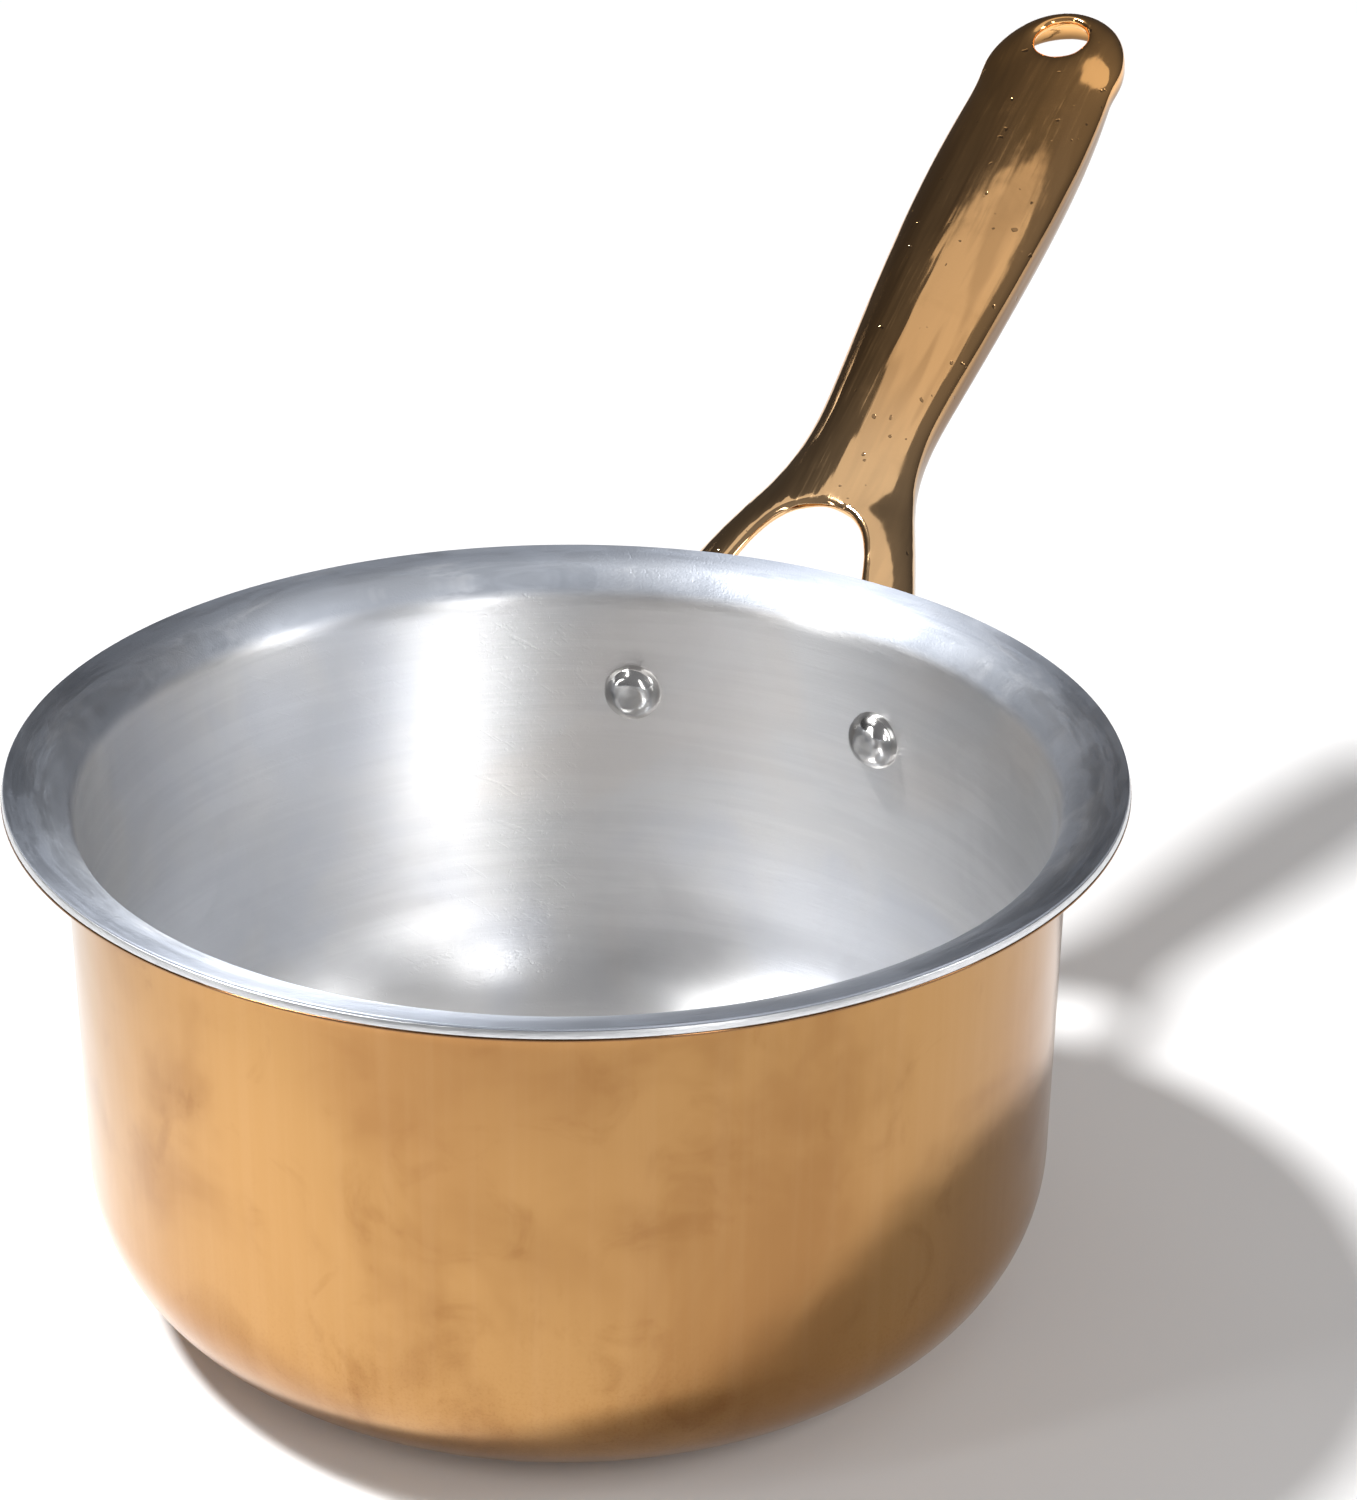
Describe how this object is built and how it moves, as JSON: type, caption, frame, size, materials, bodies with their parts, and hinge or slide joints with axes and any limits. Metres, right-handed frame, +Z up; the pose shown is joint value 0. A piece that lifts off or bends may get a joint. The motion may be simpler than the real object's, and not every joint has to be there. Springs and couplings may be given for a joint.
{
  "type": "saucepan",
  "caption": "Round copper-clad saucepan with a flared pouring lip, brushed steel lining and a long forked cast handle riveted to the wall.",
  "frame": {"origin": "centre of the flat base, on the surface that the pan stands on", "axes": "+Z up along the pan's axis, +X out along the handle, +Y to the handle's left seen from the pan"},
  "size_m": [0.344, 0.184, 0.168],
  "materials": {
    "copper": "satin",
    "core_aluminium": "satin",
    "lining_steel": "satin",
    "handle_bronze": "polished",
    "rivet_steel": "polished"
  },
  "bodies": {
    "root": {"copper_shell": "copper", "aluminium_core": "core_aluminium", "steel_lining": "lining_steel", "cast_handle": "handle_bronze", "rivet_left": "rivet_steel", "rivet_right": "rivet_steel"}
  },
  "joints": []
}
